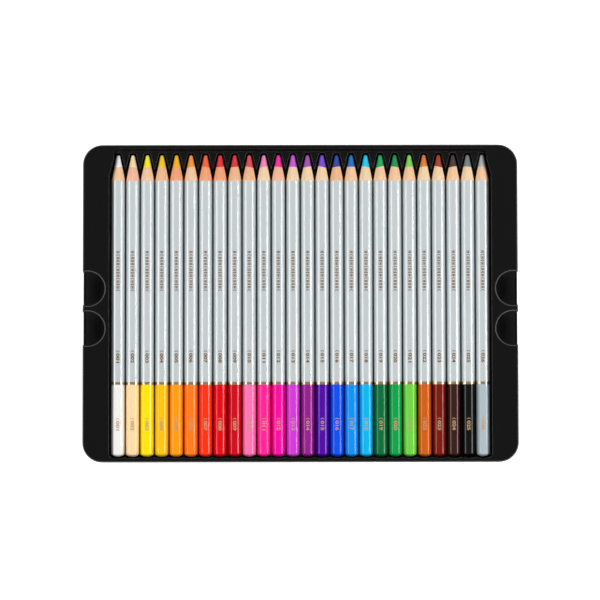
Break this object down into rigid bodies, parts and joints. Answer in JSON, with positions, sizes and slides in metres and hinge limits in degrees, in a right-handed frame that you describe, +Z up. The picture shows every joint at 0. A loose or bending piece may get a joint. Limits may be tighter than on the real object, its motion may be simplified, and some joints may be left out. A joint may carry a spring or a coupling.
{
  "type": "colored pencil tin",
  "caption": "Flat pencil tin: a shallow pressed base under a lift-out formed tray with finger wells and a row of sharpened hexagonal colored pencils, each in its own groove.",
  "frame": {"origin": "centre of the tin on its standing plane", "axes": "+X along the row of pencils, from the white one to the grey one; +Y along the pencils, towards their tips; +Z up, out of the tray"},
  "size_m": [0.254, 0.1856, 0.0097],
  "materials": {
    "tin_lacquer": "smooth black baked lacquer on tinplate, satin, with a folded hem at the rim",
    "tray_plastic": "thermoformed black sheet, fine matte grain, softly shining on its bends",
    "casing_lacquer": "cedar-like casing in silver-grey metallic lacquer, with a thin gold ring and a glossy colored dip at the rounded end; bare pale wood on the sharpened cone",
    "core_white": "waxy white color core, cut smooth",
    "core_peach": "waxy peach color core, cut smooth",
    "core_lemon": "waxy lemon color core, cut smooth",
    "core_golden": "waxy golden color core, cut smooth",
    "core_amber": "waxy amber color core, cut smooth",
    "core_orange": "waxy orange color core, cut smooth",
    "core_vermilion": "waxy vermilion color core, cut smooth",
    "core_red": "waxy red color core, cut smooth",
    "core_crimson": "waxy crimson color core, cut smooth",
    "core_pink": "waxy pink color core, cut smooth",
    "core_rose": "waxy rose color core, cut smooth",
    "core_magenta": "waxy magenta color core, cut smooth",
    "core_orchid": "waxy orchid color core, cut smooth",
    "core_purple": "waxy purple color core, cut smooth",
    "core_violet": "waxy violet color core, cut smooth",
    "core_blue": "waxy blue color core, cut smooth",
    "core_azure": "waxy azure color core, cut smooth",
    "core_cyan": "waxy cyan color core, cut smooth",
    "core_dark_green": "waxy dark green color core, cut smooth",
    "core_green": "waxy green color core, cut smooth",
    "core_light_green": "waxy light green color core, cut smooth",
    "core_sienna": "waxy sienna color core, cut smooth",
    "core_red_brown": "waxy red brown color core, cut smooth",
    "core_dark_brown": "waxy dark brown color core, cut smooth",
    "core_black": "waxy black color core, cut smooth",
    "core_grey": "waxy grey color core, cut smooth"
  },
  "bodies": {
    "tin_base": {"tin_base": "tin_lacquer"},
    "tray": {"tray": "tray_plastic"},
    "pencil_01": {"pencil_01_casing": "casing_lacquer", "pencil_01_core": "core_white"},
    "pencil_02": {"pencil_02_casing": "casing_lacquer", "pencil_02_core": "core_peach"},
    "pencil_03": {"pencil_03_casing": "casing_lacquer", "pencil_03_core": "core_lemon"},
    "pencil_04": {"pencil_04_casing": "casing_lacquer", "pencil_04_core": "core_golden"},
    "pencil_05": {"pencil_05_casing": "casing_lacquer", "pencil_05_core": "core_amber"},
    "pencil_06": {"pencil_06_casing": "casing_lacquer", "pencil_06_core": "core_orange"},
    "pencil_07": {"pencil_07_casing": "casing_lacquer", "pencil_07_core": "core_vermilion"},
    "pencil_08": {"pencil_08_casing": "casing_lacquer", "pencil_08_core": "core_red"},
    "pencil_09": {"pencil_09_casing": "casing_lacquer", "pencil_09_core": "core_crimson"},
    "pencil_10": {"pencil_10_casing": "casing_lacquer", "pencil_10_core": "core_pink"},
    "pencil_11": {"pencil_11_casing": "casing_lacquer", "pencil_11_core": "core_rose"},
    "pencil_12": {"pencil_12_casing": "casing_lacquer", "pencil_12_core": "core_magenta"},
    "pencil_13": {"pencil_13_casing": "casing_lacquer", "pencil_13_core": "core_orchid"},
    "pencil_14": {"pencil_14_casing": "casing_lacquer", "pencil_14_core": "core_purple"},
    "pencil_15": {"pencil_15_casing": "casing_lacquer", "pencil_15_core": "core_violet"},
    "pencil_16": {"pencil_16_casing": "casing_lacquer", "pencil_16_core": "core_blue"},
    "pencil_17": {"pencil_17_casing": "casing_lacquer", "pencil_17_core": "core_azure"},
    "pencil_18": {"pencil_18_casing": "casing_lacquer", "pencil_18_core": "core_cyan"},
    "pencil_19": {"pencil_19_casing": "casing_lacquer", "pencil_19_core": "core_dark_green"},
    "pencil_20": {"pencil_20_casing": "casing_lacquer", "pencil_20_core": "core_green"},
    "pencil_21": {"pencil_21_casing": "casing_lacquer", "pencil_21_core": "core_light_green"},
    "pencil_22": {"pencil_22_casing": "casing_lacquer", "pencil_22_core": "core_sienna"},
    "pencil_23": {"pencil_23_casing": "casing_lacquer", "pencil_23_core": "core_red_brown"},
    "pencil_24": {"pencil_24_casing": "casing_lacquer", "pencil_24_core": "core_dark_brown"},
    "pencil_25": {"pencil_25_casing": "casing_lacquer", "pencil_25_core": "core_black"},
    "pencil_26": {"pencil_26_casing": "casing_lacquer", "pencil_26_core": "core_grey"}
  },
  "joints": [
    {"name": "tray_lift", "type": "slide", "parent": "tin_base", "child": "tray", "axis": [0, 0, 1], "range_m": [0, 0.02]},
    {"name": "pencil_01_lift", "type": "slide", "parent": "tray", "child": "pencil_01", "axis": [0, 0, 1], "range_m": [0, 0.015]},
    {"name": "pencil_02_lift", "type": "slide", "parent": "tray", "child": "pencil_02", "axis": [0, 0, 1], "range_m": [0, 0.015]},
    {"name": "pencil_03_lift", "type": "slide", "parent": "tray", "child": "pencil_03", "axis": [0, 0, 1], "range_m": [0, 0.015]},
    {"name": "pencil_04_lift", "type": "slide", "parent": "tray", "child": "pencil_04", "axis": [0, 0, 1], "range_m": [0, 0.015]},
    {"name": "pencil_05_lift", "type": "slide", "parent": "tray", "child": "pencil_05", "axis": [0, 0, 1], "range_m": [0, 0.015]},
    {"name": "pencil_06_lift", "type": "slide", "parent": "tray", "child": "pencil_06", "axis": [0, 0, 1], "range_m": [0, 0.015]},
    {"name": "pencil_07_lift", "type": "slide", "parent": "tray", "child": "pencil_07", "axis": [0, 0, 1], "range_m": [0, 0.015]},
    {"name": "pencil_08_lift", "type": "slide", "parent": "tray", "child": "pencil_08", "axis": [0, 0, 1], "range_m": [0, 0.015]},
    {"name": "pencil_09_lift", "type": "slide", "parent": "tray", "child": "pencil_09", "axis": [0, 0, 1], "range_m": [0, 0.015]},
    {"name": "pencil_10_lift", "type": "slide", "parent": "tray", "child": "pencil_10", "axis": [0, 0, 1], "range_m": [0, 0.015]},
    {"name": "pencil_11_lift", "type": "slide", "parent": "tray", "child": "pencil_11", "axis": [0, 0, 1], "range_m": [0, 0.015]},
    {"name": "pencil_12_lift", "type": "slide", "parent": "tray", "child": "pencil_12", "axis": [0, 0, 1], "range_m": [0, 0.015]},
    {"name": "pencil_13_lift", "type": "slide", "parent": "tray", "child": "pencil_13", "axis": [0, 0, 1], "range_m": [0, 0.015]},
    {"name": "pencil_14_lift", "type": "slide", "parent": "tray", "child": "pencil_14", "axis": [0, 0, 1], "range_m": [0, 0.015]},
    {"name": "pencil_15_lift", "type": "slide", "parent": "tray", "child": "pencil_15", "axis": [0, 0, 1], "range_m": [0, 0.015]},
    {"name": "pencil_16_lift", "type": "slide", "parent": "tray", "child": "pencil_16", "axis": [0, 0, 1], "range_m": [0, 0.015]},
    {"name": "pencil_17_lift", "type": "slide", "parent": "tray", "child": "pencil_17", "axis": [0, 0, 1], "range_m": [0, 0.015]},
    {"name": "pencil_18_lift", "type": "slide", "parent": "tray", "child": "pencil_18", "axis": [0, 0, 1], "range_m": [0, 0.015]},
    {"name": "pencil_19_lift", "type": "slide", "parent": "tray", "child": "pencil_19", "axis": [0, 0, 1], "range_m": [0, 0.015]},
    {"name": "pencil_20_lift", "type": "slide", "parent": "tray", "child": "pencil_20", "axis": [0, 0, 1], "range_m": [0, 0.015]},
    {"name": "pencil_21_lift", "type": "slide", "parent": "tray", "child": "pencil_21", "axis": [0, 0, 1], "range_m": [0, 0.015]},
    {"name": "pencil_22_lift", "type": "slide", "parent": "tray", "child": "pencil_22", "axis": [0, 0, 1], "range_m": [0, 0.015]},
    {"name": "pencil_23_lift", "type": "slide", "parent": "tray", "child": "pencil_23", "axis": [0, 0, 1], "range_m": [0, 0.015]},
    {"name": "pencil_24_lift", "type": "slide", "parent": "tray", "child": "pencil_24", "axis": [0, 0, 1], "range_m": [0, 0.015]},
    {"name": "pencil_25_lift", "type": "slide", "parent": "tray", "child": "pencil_25", "axis": [0, 0, 1], "range_m": [0, 0.015]},
    {"name": "pencil_26_lift", "type": "slide", "parent": "tray", "child": "pencil_26", "axis": [0, 0, 1], "range_m": [0, 0.015]}
  ]
}
